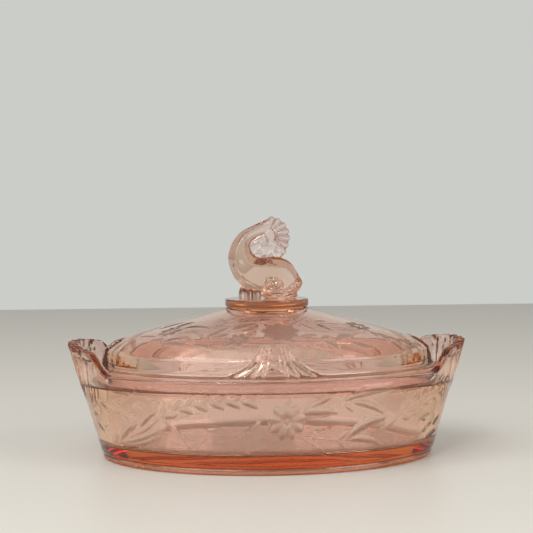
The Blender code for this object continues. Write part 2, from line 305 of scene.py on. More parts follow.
def leaf_row(points, first, pitch, count, gap, spread, length, bend, width):
    """Leaves along one side of the smooth line through points. The first one's root is at a distance
    first along the line, and all the roots stand gap to its left. The leaves' spread from the line, in
    degrees, and their length are pairs that change evenly from the first leaf to the last."""
    line = np.array(smooth_line(points))
    row = []
    for number in range(count):
        share = number / (count - 1)
        foot, heading = on_line(line, first + pitch * number)
        angle = heading + math.radians(blend(*spread, share))
        start = foot + gap * np.array([-math.sin(heading), math.cos(heading)])
        tip = start + blend(*length, share) * np.array([math.cos(angle), math.sin(angle)])
        row.append(leaf(start, tip, bend=bend, width=width))
    return row


def wheat(points, first, pitch, length, width, spread=26.0):
    """A stem with leaves on either side in turn, from a share first of its length to its tip."""
    line = np.array(smooth_line(points))
    whole = np.linalg.norm(np.diff(line, axis=0), axis=1).sum()
    strokes = [stem(line)]
    for number, place in enumerate(np.arange(whole * first, whole - 1.0, pitch / 2)):
        root, heading = on_line(line, place)
        side = 1 if number % 2 else -1
        angle = heading + side * math.radians(spread)
        size = length * (1 - 0.35 * place / whole)
        away = np.array([math.cos(angle), math.sin(angle)])
        strokes.append(leaf(root + away * 0.6, root + away * size, bend=-0.06 * side, width=width))
    angle = math.atan2(*(line[-1] - line[-2])[::-1])
    tip = line[-1] + 0.8 * length * np.array([math.cos(angle), math.sin(angle)])
    strokes.append(leaf(line[-1], tip, width=width))
    return strokes


def flower(centre, petals, reach, width, turn=0.2):
    """A round flower of broad petals about a small eye."""
    centre = np.array(centre, float)
    strokes = []
    for number in range(petals):
        angle = turn + 2 * math.pi * number / petals
        away = np.array([math.cos(angle), math.sin(angle)])
        strokes.append(leaf(centre + away * 1.6, centre + away * reach, width=width))
    strokes.append(np.array([[*centre, 1.0]]))
    return strokes


def signed_depth(x, y, strokes):
    """How far each point lies inside the strokes, negative outside, no lower than -CUT_LIMIT."""
    depth = np.full(x.shape, -CUT_LIMIT)
    for discs in strokes:
        reach = discs[:, 2].max() + CUT_LIMIT
        near = (x > discs[:, 0].min() - reach) & (x < discs[:, 0].max() + reach)
        near &= (y > discs[:, 1].min() - reach) & (y < discs[:, 1].max() + reach)
        if not near.any():
            continue
        away = np.hypot(x[near][:, None] - discs[:, 0], y[near][:, None] - discs[:, 1])
        depth[near] = np.maximum(depth[near], (discs[:, 2] - away).max(axis=1))
    return depth


def groove(depth):
    """How far in the wheel cuts at a signed depth from the stroke's edge."""
    return np.minimum(np.clip(depth, 0, None) * CUT_SLOPE, CUT_DEEPEST)


# The cutting on one side of the dish, as (distance round the wall from its middle, height)
LEFT_STEM = ((-70.5, 10), (-55.5, 16), (-45, 23), (-38.5, 26), (-32.5, 28), (-20, 29.5), (-6, 29.5))
RIGHT_STEM = ((28, 13), (38, 14), (46, 17), (52.5, 21), (60, 25), (68.5, 27.5), (80.5, 31.5))
DISH_CUTS = [
    # The left spray: its stem, the leaves above and below it, and the fan at its root
    thin(0.4, *LEFT_STEM),
    *leaf_row(
        LEFT_STEM, first=28, pitch=5.8, count=7,
        gap=0.5, spread=(31, 17), length=(6.3, 5.2), bend=-0.1, width=1.0,
    ),
    *leaf_row(
        LEFT_STEM, first=36, pitch=6.3, count=5,
        gap=-0.2, spread=(-36, -22), length=(7.2, 7.5), bend=0.1, width=1.2,
    ),
    *spray((-45.5, 23), (13, 8, -0.1, 1.0)),
    *spray((-70.5, 10), (19, 30, -0.05, 1.2), (16, 28, -0.1, 1.1)),
    *spray((-69, 11), (33, 15, 0.1, 1.3)),
    *spray((-72, 10.5), (68, 5, 0.05, 0.5)),
    *spray((-56, 18), (35, 12.5, 0.1, 1.4)),
    *spray((-62, 15.5), (48, 10, -0.05, 0.7)),
    # The left handle's sprig
    thin(0.4, (-85.5, 22.5), (-77, 26), (-71.5, 26.5), (-64, 28), (-58.5, 30.5), (-54.5, 33.5)),
    *spray((-77, 26), (-32, 7.5, 0.05, 1.1)),
    *spray((-71.5, 26), (-20, 13, 0.06, 0.9)),
    *spray((-86, 20), (-3, 6.5, 0.05, 0.6)),
    *spray((-80, 13.5), (32, 7, 0.05, 0.6)),
    *spray((-84, 24.5), (51, 6.5, 0.1, 0.9)),
    *spray((-85, 16.5), (-40, 8, 0.1, 0.8)),
    # The thin stalks and buds under the left spray
    thin(0.35, (-60.5, 26.5), (-51.5, 25), (-46.5, 22.5)),
    thin(0.4, (-45, 22), (-38.5, 16), (-34, 10.5)),
    thin(0.35, (-16.5, 15.5), (-11.5, 17.5), (-9, 19), (-6.5, 21)),
    *spray((-28, 18), (9, 6, -0.1, 0.6)),
    *spray((-13, 10), (-29, 4.3, 0, 0.4)),
    # The middle flower with its broad leaves and its three stalks
    *flower((4, 21.5), petals=9, reach=7.4, width=2.0),
    *spray((4.5, 26), (75, 5.5, 0.05, 0.9)),
    *spray((10, 24.5), (27, 15.5, 0.06, 1.6), (-2, 14.5, 0.08, 2.0)),
    thin(0.35, (11, 16), (17.5, 17), (21.5, 18)),
    thin(0.4, (10.5, 14.5), (16, 11), (20, 8)),
    thin(0.4, (11.5, 15.5), (17.5, 14), (28, 13)),
    # The broad leaves between the flower and the right spray
    *spray((25.7, 28.7), (7, 25, 0.08, 1.9), (35, 5.4, -0.05, 0.8)),
    *spray((26, 27.5), (-37, 6, 0.08, 1.0)),
    *spray((29, 28), (-21, 17.7, 0.1, 1.6)),
    thin(0.35, (44.5, 24.5), (51, 21.5)),
    # The right spray: its stem, the leaves above and below it, and the leaves at its root
    thin(0.4, *RIGHT_STEM),
    *leaf_row(
        RIGHT_STEM, first=26.4, pitch=5.5, count=6,
        gap=1.3, spread=(25, 20), length=(5.8, 4.3), bend=0.1, width=0.9,
    ),
    *leaf_row(
        RIGHT_STEM, first=26.8, pitch=5.6, count=5,
        gap=-1.3, spread=(-29, -18), length=(6.1, 5.3), bend=-0.1, width=0.9,
    ),
    *spray((28, 13), (22, 20.3, 0.12, 1.7), (-12, 18, 0.1, 1.4)),
    *spray((24.3, 13.2), (37, 6.2, -0.05, 0.9), (-36, 5, 0, 0.8)),
    *spray((63, 18), (10, 9, 0.05, 1.4)),
    *spray((69.5, 14), (13, 6, 0.05, 1.1)),
    *spray((76, 14), (30, 7, 0.05, 1.0)),
    *spray((72, 10), (4, 12, 0.05, 1.2)),
    *spray((59.5, 28), (99, 5, 0, 0.6)),
    *spray((52.5, 29), (125, 4.2, 0, 0.6)),
    *spray((55, 28), (124, 4.2, 0, 0.6)),
]

# One half of the lid, in plan. The other half is the same, turned half round.
LID_CUTS = [
    *flower((3.4, -32.5), petals=9, reach=7.5, width=2.4),
    *flower((-13.5, -37.5), petals=7, reach=4.5, width=1.3),
    *flower((36.5, -17), petals=7, reach=5.2, width=1.3),
    *flower((-40.5, -18), petals=7, reach=5.2, width=1.3, turn=0.5),
    # Two stems to the right flower with their leaves, and a stalk beside the neck
    thin(0.55, (11.5, -24.5), (19, -23), (33, -17)),
    *spray((18, -21.5), (30, 6, 0.1, 1.0)),
    *spray((18, -24), (-36, 7.5, 0.1, 1.3)),
    *spray((12, -25), (-44, 7, 0.1, 1.1)),
    thin(0.55, (7, -40), (22, -37.5), (29, -33), (34.5, -27)),
    *spray((25.5, -36.5), (49, 10, 0.1, 1.4)),
    *spray((20, -38.5), (-28, 7, 0.1, 1.1)),
    *spray((31, -35), (1, 9.5, -0.1, 1.4)),
    *spray((9.5, -37.5), (22, 10, 0.1, 0.8)),
    *spray((19, -37), (37, 5.6, 0.1, 1.1)),
    thin(0.55, (7, -27.5), (11, -23), (15, -17)),
    *wheat([(39, -20), (45, -22.5), (52, -22), (59, -17)], 0.05, pitch=4.6, length=6.0, width=1.3),
    # The leaves about the left flower
    *spray((-55.5, -22.5), (80, 9.4, 0.05, 0.9)),
    *spray((-53.5, -12), (-49, 12.5, 0.05, 1.0)),
    *spray((-48.5, -23), (-21, 6.5, 0.05, 1.0)),
    *spray((-44.5, -28), (-10, 13.4, 0.08, 1.3)),
    *spray((-43, -29.5), (-33, 10.7, 0.05, 1.5)),
    *spray((-45.5, -9), (1, 12, 0.05, 1.1)),
    *spray((-38, -14), (9, 8, 0.08, 1.4)),
    *spray((-35.5, -17.5), (-34, 15, 0.1, 1.4)),
    # The leaves between the left flower and the neck
    *spray((-26.5, -32.5), (38, 13.7, -0.05, 1.3)),
    *spray((-24.5, -34), (12, 8, 0.05, 1.1)),
    *spray((-19.5, -41), (30, 7, 0.05, 1.0)),
    *spray((-15.2, -29.2), (46, 7.3, 0.08, 1.0), (25, 13.3, 0.05, 1.1)),
    *spray((-12.5, -30.5), (4, 7, 0.05, 0.9)),
    *spray((-31, -36), (-35, 8, 0.05, 1.1)),
    thin(0.5, (-31.5, -24), (-26.5, -33)),
]


# ---------------------------------------------------------------- dish


def side_to_end(turn, at_side, at_end):
    """A value that changes round the dish from its long sides to its ends."""
    return blend(at_side, at_end, np.cos(turn) ** 2)


def wall_offset(turn, height):
    """How far the dish's outer wall stands out from the foot's oval at a height."""
    return FOOT_STEP + (height - FOOT_HEIGHT) * side_to_end(turn, SIDE_FLARE, END_FLARE)


def lobe(distance):
    """1 at the middle of each scallop and 0 at the notch between two, with round tops."""
    return np.abs(np.cos(math.pi * distance / LOBE_PITCH))


def in_lobes(distance):
    """1 over the fan's scallops, fading to 0 beside them."""
    return smoothstep((LOBE_ZONE + 2 - np.abs(distance)) / 4)


def handle_lift(across):
    """How far the rim rises above the plain rim at a distance across from the dish's long axis."""
    share = np.abs(across) / HANDLE_HALF_WIDTH
    crown = 1 - HANDLE_CROWN * np.minimum(share, 1) ** 3
    shoulder = smoothstep((1.24 - share) / 0.3)
    return HANDLE_LIFT * crown * shoulder + LOBE_DEPTH * (lobe(across) - 1) * in_lobes(across)


def flutes(across, height):
    """How far the fan's flutes stand out from the wall. They draw together as they run down."""
    rise = np.clip((height - FLUTE_START) / (RIM_HEIGHT + HANDLE_LIFT - FLUTE_START), 0, 1)
    spread = across / blend(0.35, 1.0, rise**0.8)
    return FLUTE_DEPTH * (lobe(spread) - 0.7) * in_lobes(spread) * smoothstep(rise * 1.6)


def ripple(along, height, size=0.05):
    """The slight unevenness that pressing leaves on a wall."""
    wave = np.sin(along / 6.1 + 0.7 * np.sin(height / 5.3)) + 0.7 * np.sin(along / 3.7 - height / 7.9 + 1.3)
    return size * (wave + 0.5 * np.sin(height / 2.9 + along / 11.0))


def around(turns, offset):
    """The distance round the wall from the middle of its front, for each turn."""
    x, y = oval(np.append(turns, turns[0] + 2 * math.pi), offset)
    run = np.concatenate([[0], np.cumsum(np.hypot(np.diff(x), np.diff(y)))])
    return run[:-1], run[-1]


def dish_inside(turns):
    """The dish's section from the middle of its floor up to just under its rim, and that rim's own."""
    across = oval(turns, wall_offset(turns, RIM_HEIGHT))[1]
    edge = RIM_HEIGHT + handle_lift(across)
    thickness = side_to_end(turns, SIDE_RIM_THICKNESS, END_RIM_THICKNESS)
    ledge_end = wall_offset(turns, LEDGE_HEIGHT) - thickness
    return across, edge, thickness, [
        (-12.0, FLOOR_HEIGHT, 0, 2),
        (-4.2, FLOOR_HEIGHT, 2.6, 4),
        (-2.6, 16.0, 3.0, 7),
        (-0.2, LEDGE_HEIGHT, 0.7, 2),
        (ledge_end, LEDGE_HEIGHT, 0.3, 4),
        (wall_offset(turns, edge) - thickness, edge - 0.3, 0, 1),
    ]


def make_dish():
    turns = FRONT + 2 * math.pi * np.arange(DISH_COLUMNS) / DISH_COLUMNS
    coarse = turns[::4]
    inside = section(coarse, dish_inside(coarse)[3])[:-1]
    rings = [(*oval(coarse, offset), height) for offset, height in inside]
    cuts = [np.full(coarse.shape, -CUT_LIMIT)] * len(rings)
    across, edge, thickness, _ = dish_inside(turns)
    out = wall_offset(turns, edge)
    corners = [
        (out - thickness * 0.94 - 0.25, edge - 3.0, 0, 2),
        (out - thickness, edge - 0.3, 1.3, 2),
        (out, edge, 1.3, 56),
        (FOOT_STEP + 0.1, FOOT_HEIGHT + 0.8, 0.7, 1),
        (-0.35, FOOT_HEIGHT + 0.25, 0.2, 1),
        (0.0, FOOT_HEIGHT - 0.5, 0.3, 1),
        (-0.1, 0.0, 1.2, 1),
        (-4.5, 0.0, 0, 1),
    ]
    run, whole = around(turns, 5.0)
    front = (run + whole / 2) % whole - whole / 2
    back = run - whole / 2
    for offset, height in section(turns, corners):
        on_wall = (offset > wall_offset(turns, height) - 0.9) & (height > FOOT_HEIGHT + 1)
        depth = np.full(turns.shape, -CUT_LIMIT)
        if on_wall.any():
            sides = [signed_depth(along, height, DISH_CUTS) for along in (front, back)]
            depth = np.maximum(*sides)
            depth = np.where(on_wall & (height < RIM_HEIGHT - 1.5), depth, -CUT_LIMIT)
        raised = np.where(on_wall, flutes(across, height) + ripple(front, height), 0)
        rings.append((*oval(turns, offset + raised - groove(depth)), height))
        cuts.append(depth)
    for offset, height in ((-6.8, 0.0), (-7.4, RECESS_DEPTH), (-14.0, RECESS_DEPTH)):
        rings.append((*oval(coarse, offset), height))
        cuts.append(np.full(coarse.shape, -CUT_LIMIT))
    mesh = closed_mesh("dish_glass", rings[::-1])
    depth = np.concatenate(cuts[::-1])
    store(mesh, "cut", depth)
    # The handles get painted shade, a darker tint; where the glass is cut it is left white, untinted
    in_handle = smoothstep((coordinates(mesh)[:, 2] - RIM_HEIGHT - 0.5) / 3)
    store(mesh, "tint_and_painted_shade", blend(PLAIN_TINT, HANDLE_PAINTED_SHADE, in_handle) * (1 - smoothstep(depth / GROUND_EDGE)))
    return new_object("dish_glass", mesh)


# ---------------------------------------------------------------- lid


def dome_height(x, y):
    """The dome's height over a point of the plan: a shallow cone that rounds down to the shoulder."""
    share = np.hypot(x / (FOOT_HALF_LENGTH + SHOULDER_OFFSET), y / (FOOT_HALF_WIDTH + SHOULDER_OFFSET))
    peak = SHOULDER_HEIGHT + DOME_RISE + DOME_ROUNDING
    return peak - DOME_RISE * share - DOME_ROUNDING * share**DOME_ROUNDING_POWER


def hollow_height(x, y):
    """The hollow's height under the dome. It rounds down to the flange well inside the shoulder."""
    share = np.hypot(x / (FOOT_HALF_LENGTH + SHOULDER_OFFSET), y / (FOOT_HALF_WIDTH + SHOULDER_OFFSET))
    cone = SHOULDER_HEIGHT + DOME_RISE * (1 - share) + DOME_ROUNDING
    thickness = LID_WALL + LID_SWELL * share
    return cone - thickness - HOLLOW_ROUNDING * (share / HOLLOW_SHARE) ** HOLLOW_ROUNDING_POWER


def rib(distance, share):
    """The ribs' height, from 0 to 1, beside the middle of their bundles. share runs down from the ribs'
    start on the dome, 0, to the flange, 1."""
    share = np.clip(share, 0, 1)
    tallest = np.zeros(np.broadcast(distance, share).shape)
    for number, (top, foot) in enumerate(zip(RIB_TOPS, RIB_FEET)):
        half_width = blend(0.75, 1.3 + 0.6 * number, share**RIB_SWEEP)
        away = (np.abs(distance) - blend(top, foot, share**RIB_SWEEP)) / half_width
        tallest = np.maximum(tallest, np.cos(np.clip(away, -1, 1) * math.pi / 2))
    return tallest * smoothstep(share * 2.5)


def ribs_at(turn, share):
    """Rib height over the lid's oval: full bundles front and back, smaller ones at the ends."""
    x, y = oval(turn, 0)
    at_side = np.abs(np.sin(turn)) > math.sqrt(0.5)
    side = RIB_HEIGHT * rib(x, share)
    end = RIB_HEIGHT * END_RIB_SCALE * rib(y / END_RIB_SCALE, share)
    return np.where(at_side, side, end)


def lid_cut(x, y):
    """The signed depth of the cutting over a point of the lid's plan."""
    return np.maximum(signed_depth(x, y, LID_CUTS), signed_depth(-x, -y, LID_CUTS))


def lid_turns():
    """The lid's columns: closer together over its four bundles of ribs."""
    fine = np.linspace(0, 2 * math.pi, 7201)
    x, y = oval(fine, 0)
    speed = np.hypot(np.gradient(x), np.gradient(y))
    near = smoothstep((26 - np.abs(x)) / 6) + smoothstep((17 - np.abs(y)) / 5)
    run = np.concatenate([[0], np.cumsum((speed * (1 + 0.9 * near))[1:])])
    return np.interp(np.arange(LID_COLUMNS) / LID_COLUMNS * run[-1], run, fine)


def make_lid():
    turns = lid_turns()
    coarse = turns[::3]
    x, y = oval(coarse, SHOULDER_OFFSET)
    rings = []
    for share in HOLLOW_SHARE * np.sqrt(np.linspace(0.01, 1, 20)):
        rings.append((x * share, y * share, hollow_height(x * share, y * share)))
    underside = LEDGE_HEIGHT + SEAT_GAP
    skirt_foot = underside - SKIRT_DEPTH
    corners = [
        (-5.8, SHOULDER_HEIGHT - 5.2, 0, 1),
        (-4.9, SHOULDER_HEIGHT - 7.6, 0, 2),
        (-4.5, skirt_foot, 0.5, 1),
        (SKIRT_OFFSET, skirt_foot, 0.5, 1),
        (SKIRT_OFFSET, underside, 0.3, 2),
        (FLANGE_OFFSET - 0.6, underside, 0, 1),
    ]
    rings += [(*oval(coarse, offset), height) for offset, height in section(coarse, corners)]
    corners = [
        (FLANGE_OFFSET - 0.5, underside, 0, 1),
        (FLANGE_OFFSET, underside, 0.5, 2),
        (FLANGE_OFFSET, FLANGE_TOP, 1.0, 2),
        (-0.6, FLANGE_TOP + 0.1, 0.9, 9),
        (SHOULDER_OFFSET, SHOULDER_HEIGHT, 0, 1),
    ]
    # The ribs' way down is measured along the dome and then down the step.
    whole = RIB_RUN + SHOULDER_HEIGHT - FLANGE_TOP
    for offset, height in section(turns, corners):
        down = (RIB_RUN + SHOULDER_HEIGHT - height) / whole
        bump = np.where(height > FLANGE_TOP - 0.3, ribs_at(turns, down), 0)
        rings.append((*oval(turns, offset + bump), height))
    shoulder_x, shoulder_y = oval(turns, SHOULDER_OFFSET)
    neck_x, neck_y = (NECK_RADIUS + 1.2) * np.cos(turns), (NECK_RADIUS + 1.2) * np.sin(turns)
    for share in np.concatenate([np.linspace(1, 0.9, 13)[1:], np.linspace(0.9, 0.34, 48)[1:]]):
        neck = smoothstep((0.5 - share) / 0.16)
        x, y = blend(shoulder_x * share, neck_x, neck), blend(shoulder_y * share, neck_y, neck)
        down = (RIB_RUN - (1 - share) * FOOT_HALF_WIDTH) / whole
        bump = ribs_at(turns, np.full(turns.shape, down)) - LID_CUT_SHARE * groove(lid_cut(x, y))
        rings.append((x, y, dome_height(x, y) + bump))
    for radius, rise in ((NECK_RADIUS + 0.5, 0.15), (NECK_RADIUS + 0.1, 0.45)):
        x, y = radius * np.cos(turns), radius * np.sin(turns)
        rings.append((x, y, np.minimum(dome_height(x, y) + rise, PLATE_UNDERSIDE - 0.35)))
    for radius, height in (
        (NECK_RADIUS, PLATE_UNDERSIDE - 0.25),
        (NECK_RADIUS + 0.1, PLATE_UNDERSIDE - 0.1),
        (NECK_RADIUS + 0.35, PLATE_UNDERSIDE),
        (PLATE_RADIUS - 0.4, PLATE_UNDERSIDE),
        (PLATE_RADIUS - 0.1, PLATE_UNDERSIDE + 0.1),
        (PLATE_RADIUS, PLATE_UNDERSIDE + 0.4),
        (PLATE_RADIUS, PLATE_TOP - 0.5),
        (PLATE_RADIUS - 0.15, PLATE_TOP - 0.15),
        (PLATE_RADIUS - 0.5, PLATE_TOP),
        (PLATE_RADIUS - 1.2, PLATE_TOP),
    ):
        rings.append((radius * np.cos(turns), radius * np.sin(turns), height))
    lid = new_object("lid_glass", closed_mesh("lid_glass", rings))
    dolphin = make_dolphin()
    union = lid.modifiers.new("dolphin", "BOOLEAN")
    union.operation = "UNION"
    union.solver = "MANIFOLD"
    union.object = dolphin
    mesh = applied(lid)
    bpy.data.objects.remove(dolphin)
    x, y, z = coordinates(mesh).T
    on_dome = (z > dome_height(x, y) - 1.2) & (np.hypot(x, y) > NECK_RADIUS + 2)
    store(mesh, "cut", np.where(on_dome, lid_cut(x, y), -CUT_LIMIT))
    on_plate = (np.hypot(x, y) > PLATE_RADIUS - 0.3) & (z > PLATE_UNDERSIDE + 0.3) & (z < PLATE_TOP - 0.4)
    # Painted shade: the lid's cuts get a darker tint than the plain glass
    ground = np.where(on_dome, smoothstep(lid_cut(x, y) / GROUND_EDGE), 0)
    facing = np.abs(vertex_normals(mesh)[:, 1])
    # Painted shade: the dolphin's edges, where it faces sideways, get a darker tint
    edge = np.where(z > PLATE_TOP + 0.1, 1 - smoothstep((facing - EDGE_FACING) / EDGE_FADE), 0)
    tint_and_painted_shade = PLAIN_TINT + (LID_CUT_PAINTED_SHADE - PLAIN_TINT) * ground
    tint_and_painted_shade += (DOLPHIN_EDGE_PAINTED_SHADE - PLAIN_TINT) * edge
    # Painted shade: the plate's side gets the darkest tint of all
    store(mesh, "tint_and_painted_shade", np.where(on_plate, 1, tint_and_painted_shade))
    mesh.set_sharp_from_angle(angle=SHARP_ANGLE)
    return lid


# ---------------------------------------------------------------- dolphin finial

# The body from the tail's root to the lips: its back or belly (x, height over the plate), its inner
# side or forehead (x, height), and its half thickness
BODY = (
    (1.2, 33.6, 1.0, 26.0, 1.9),
    (-1.9, 32.2, -1.5, 25.8, 2.4),
    (-5.8, 30.5, -4.3, 25.0, 3.0),
    (-10.3, 28.2, -6.6, 23.6, 3.6),
    (-13.4, 24.9, -7.0, 21.6, 4.2),
    (-15.4, 20.9, -6.2, 19.6, 4.7),
    (-16.1, 16.9, -5.4, 18.3, 5.1),
    (-15.2, 12.4, -4.6, 17.4, 5.4),
    (-13.3, 8.5, -3.2, 16.9, 5.7),
    (-10.0, 5.2, -1.0, 16.8, 5.9),
    (-5.5, 3.6, 1.5, 16.9, 6.0),
    (0.0, 2.2, 4.2, 17.0, 6.0),
    (4.5, 1.2, 7.2, 16.6, 5.8),
    (8.5, 0.8, 10.4, 14.6, 5.0),
    (11.3, 1.2, 12.6, 11.2, 3.9),
    (13.2, 2.8, 14.0, 8.8, 2.7),
    (14.6, 4.6, 15.0, 7.2, 1.6),
)
BACK_BEVEL = 2.6
INNER_BEVEL = 3.6
TAIL_ROOT = (0.2, 26.4)
# Each lobe of the tail fan: its angle in degrees, its reach and its half width at the tip
TAIL_LOBES = (
    (73, 8.3, 1.6),
    (52, 8.9, 1.6),
    (31, 9.4, 1.6),
    (11, 9.7, 1.6),
    (-8, 10.0, 1.6),
    (-27, 10.3, 1.6),
    (-45, 11.1, 1.5),
)
# Balls as the middle (x, height, y) and half sizes: six for the web that fills the curl, one for the
# chin and three for the waves under the body
LUMPS = (
    ((-3.6, 22.6, 0), (2.4, 2.6, 1.6)),
    ((0.4, 21.2, 0), (3.9, 4.2, 1.9)),
    ((4.2, 18.9, 0), (2.9, 2.7, 1.6)),
    ((-3.2, 18.6, 0), (2.1, 2.2, 1.7)),
    ((-5.6, 21.2, 0), (2.6, 3.6, 1.6)),
    ((-2.0, 24.4, 0), (2.8, 2.4, 1.5)),
    ((5.6, 1.2, 0), (7.6, 2.0, 4.6)),
    ((-10.2, 1.6, 0), (1.7, 3.4, 3.0)),
    ((-7.0, 1.6, 0), (1.6, 3.4, 3.8)),
    ((-3.9, 1.6, 0), (1.6, 3.2, 4.4)),
)
BALL_RINGS = 20
BALL_SIDES = 28
VOXEL = 0.335


def ball(centre, half_sizes):
    """A closed ball squashed to its half sizes, centre and sizes as (x, height, y)."""
    turn = 2 * math.pi * np.arange(BALL_SIDES) / BALL_SIDES
    out = []
    for angle in math.pi * (np.arange(BALL_RINGS) + 0.5) / BALL_RINGS:
        x = centre[0] + half_sizes[0] * math.sin(angle) * np.cos(turn)
        y = centre[2] + half_sizes[2] * math.sin(angle) * np.sin(turn)
        out.append((x, y, PLATE_TOP + centre[1] - half_sizes[1] * math.cos(angle)))
    return out


def blade(stations):
    """Rings across a flat-faced shape whose two faces are bevelled along its back and its inner side."""
    out = []
    for back_x, back_z, inner_x, inner_z, thick in smooth_line(stations, 6):
        width = math.hypot(inner_x - back_x, inner_z - back_z)
        back_bevel = min(BACK_BEVEL / width, 0.33)
        inner_bevel = min(INNER_BEVEL / width, 0.36)
        share = np.concatenate([np.linspace(0, back_bevel, 5), np.linspace(1 - inner_bevel, 1, 6)])
        half = thick * np.interp(share, [0, back_bevel, 1 - inner_bevel, 1], [0.3, 1, 1, 0.25])
        share, y = np.append(share, share[::-1]), np.append(half, -half[::-1])
        x, z = blend(back_x, inner_x, share), blend(back_z, inner_z, share)
        out.append((x, y, z + PLATE_TOP))
    return out


def pill(start, end, start_size, end_size, thickness, y=0.0):
    """A tapering rod with round ends in the dolphin's plane."""
    way = np.array(end, float) - np.array(start, float)
    length = np.linalg.norm(way)
    way /= length
    places = [(-0.95, 0.3), (-0.7, 0.72), (-0.3, 0.95), (0, 1)]
    stations = [(a * start_size, b * start_size) for a, b in places]
    stations += [(length - a * end_size, b * end_size) for a, b in places[::-1]]
    turn = 2 * math.pi * np.arange(20) / 20
    out = []
    for along, half in stations:
        x = start[0] + way[0] * along - way[1] * half * np.cos(turn)
        z = start[1] + way[1] * along + way[0] * half * np.cos(turn)
        out.append((x, y + thickness * min(1, half) * np.sin(turn), z + PLATE_TOP))
    return out


def make_dolphin():
    """The dolphin as one closed mesh: its shapes are fused, smoothed and then carved."""
    shapes = [blade(BODY)]
    for angle, reach, half in TAIL_LOBES:
        heading = math.radians(angle)
        way = np.array([math.cos(heading), math.sin(heading)])
        shapes.append(pill(TAIL_ROOT, TAIL_ROOT + way * (reach - half), 0.9, half, 1.9))
    shapes += [ball(centre, sizes) for centre, sizes in LUMPS]
    for side in (-1, 1):
        shapes.append(pill((7.0, 2.0), (14.3, 6.4), 0.8, 0.8, 2.4, y=side * 1.6))
    points, faces = [], []
    for number, rings in enumerate(shapes):
        mesh = closed_mesh(f"shape_{number}", rings)
        faces += [[len(points) + index for index in face.vertices] for face in mesh.polygons]
        points += [tuple(vertex.co) for vertex in mesh.vertices]
        bpy.data.meshes.remove(mesh)
    joined = bpy.data.meshes.new("dolphin")
    joined.from_pydata(points, [], faces)
    dolphin = new_object("dolphin", joined)
    remesh = dolphin.modifiers.new("fuse", "REMESH")
    remesh.mode = "VOXEL"
    remesh.voxel_size = VOXEL * MM
    smooth = dolphin.modifiers.new("smooth", "SMOOTH")
    smooth.factor = 0.5
    smooth.iterations = 3
    carve(applied(dolphin))
    return dolphin


def ridge(distance, half_width):
    """1 on a line and 0 beyond half_width beside it."""
    return np.cos(np.clip(distance / half_width, -1, 1) * math.pi / 2) ** 2


def away_from(x, z, line):
    """The distance from each point to a line through a few points."""
    line = np.array(smooth_line(line, 10))
    return np.hypot(x[:, None] - line[:, 0], z[:, None] - line[:, 1]).min(axis=1)


# Creases in the dolphin's two faces: (depth, half width, points), with ridges as negative depths
CREASES = (
    (0.7, 0.7, [(-1.9, 4.2), (2.6, 2.9), (7.6, 3.6), (12.0, 7.0), (13.6, 8.8)]),
    (0.5, 0.6, [(-0.2, 1.9), (5.5, 1.0), (10.0, 2.2), (13.8, 5.0)]),
    (-0.35, 0.5, [(2.0, 1.9), (7.0, 2.3), (12.0, 5.4)]),
    (0.8, 0.8, [(-10.4, 9.4), (-8.2, 7.2), (-5.2, 5.6)]),
    (0.5, 0.6, [(-1.4, 5.6), (-0.6, 8.4), (1.2, 9.4), (2.2, 8.8)]),
    (0.35, 0.9, [(-10.7, 15.0), (-10.3, 14.8)]),
    (0.5, 0.5, [(-4.2, 19.6), (-2.8, 18.9), (-1.6, 19.6)]),
    (0.45, 0.5, [(1.5, 19.0), (2.6, 17.6)]),
    (0.45, 0.6, [(1.6, 22.4), (-0.2, 25.4)]),
)


def carve(mesh):
    """Presses the eyes, the mouth, the gill and the fins' creases into the dolphin's two faces."""
    points, normals = coordinates(mesh), vertex_normals(mesh)
    x, z = points[:, 0], points[:, 2] - PLATE_TOP
    facing = smoothstep((np.abs(normals[:, 1]) - 0.25) / 0.4)
    tilt = math.radians(-24)
    u = (x - 2.9) * math.cos(tilt) + (z - 6.1) * math.sin(tilt)
    v = (z - 6.1) * math.cos(tilt) - (x - 2.9) * math.sin(tilt)
    eye = np.hypot(u / 2.9, v / 2.0)
    rise = 0.5 * ridge(eye - 1.05, 0.28) - 0.6 * ridge(eye - 0.7, 0.32) + 0.5 * ridge(eye, 0.45)
    for depth, half_width, line in CREASES:
        rise -= depth * ridge(away_from(x, z, line), half_width)
    for (angle, reach, _), (other, _, _) in zip(TAIL_LOBES, TAIL_LOBES[1:]):
        between = math.radians((angle + other) / 2)
        across, up = math.cos(between), math.sin(between)
        line = [(TAIL_ROOT[0] + away * across, TAIL_ROOT[1] + away * up) for away in (3.5, 6.0, reach)]
        rise -= 0.6 * ridge(away_from(x, z, line), 0.6)
    points += normals * (rise * facing)[:, None]
    set_coordinates(mesh, points)


# ---------------------------------------------------------------- glass


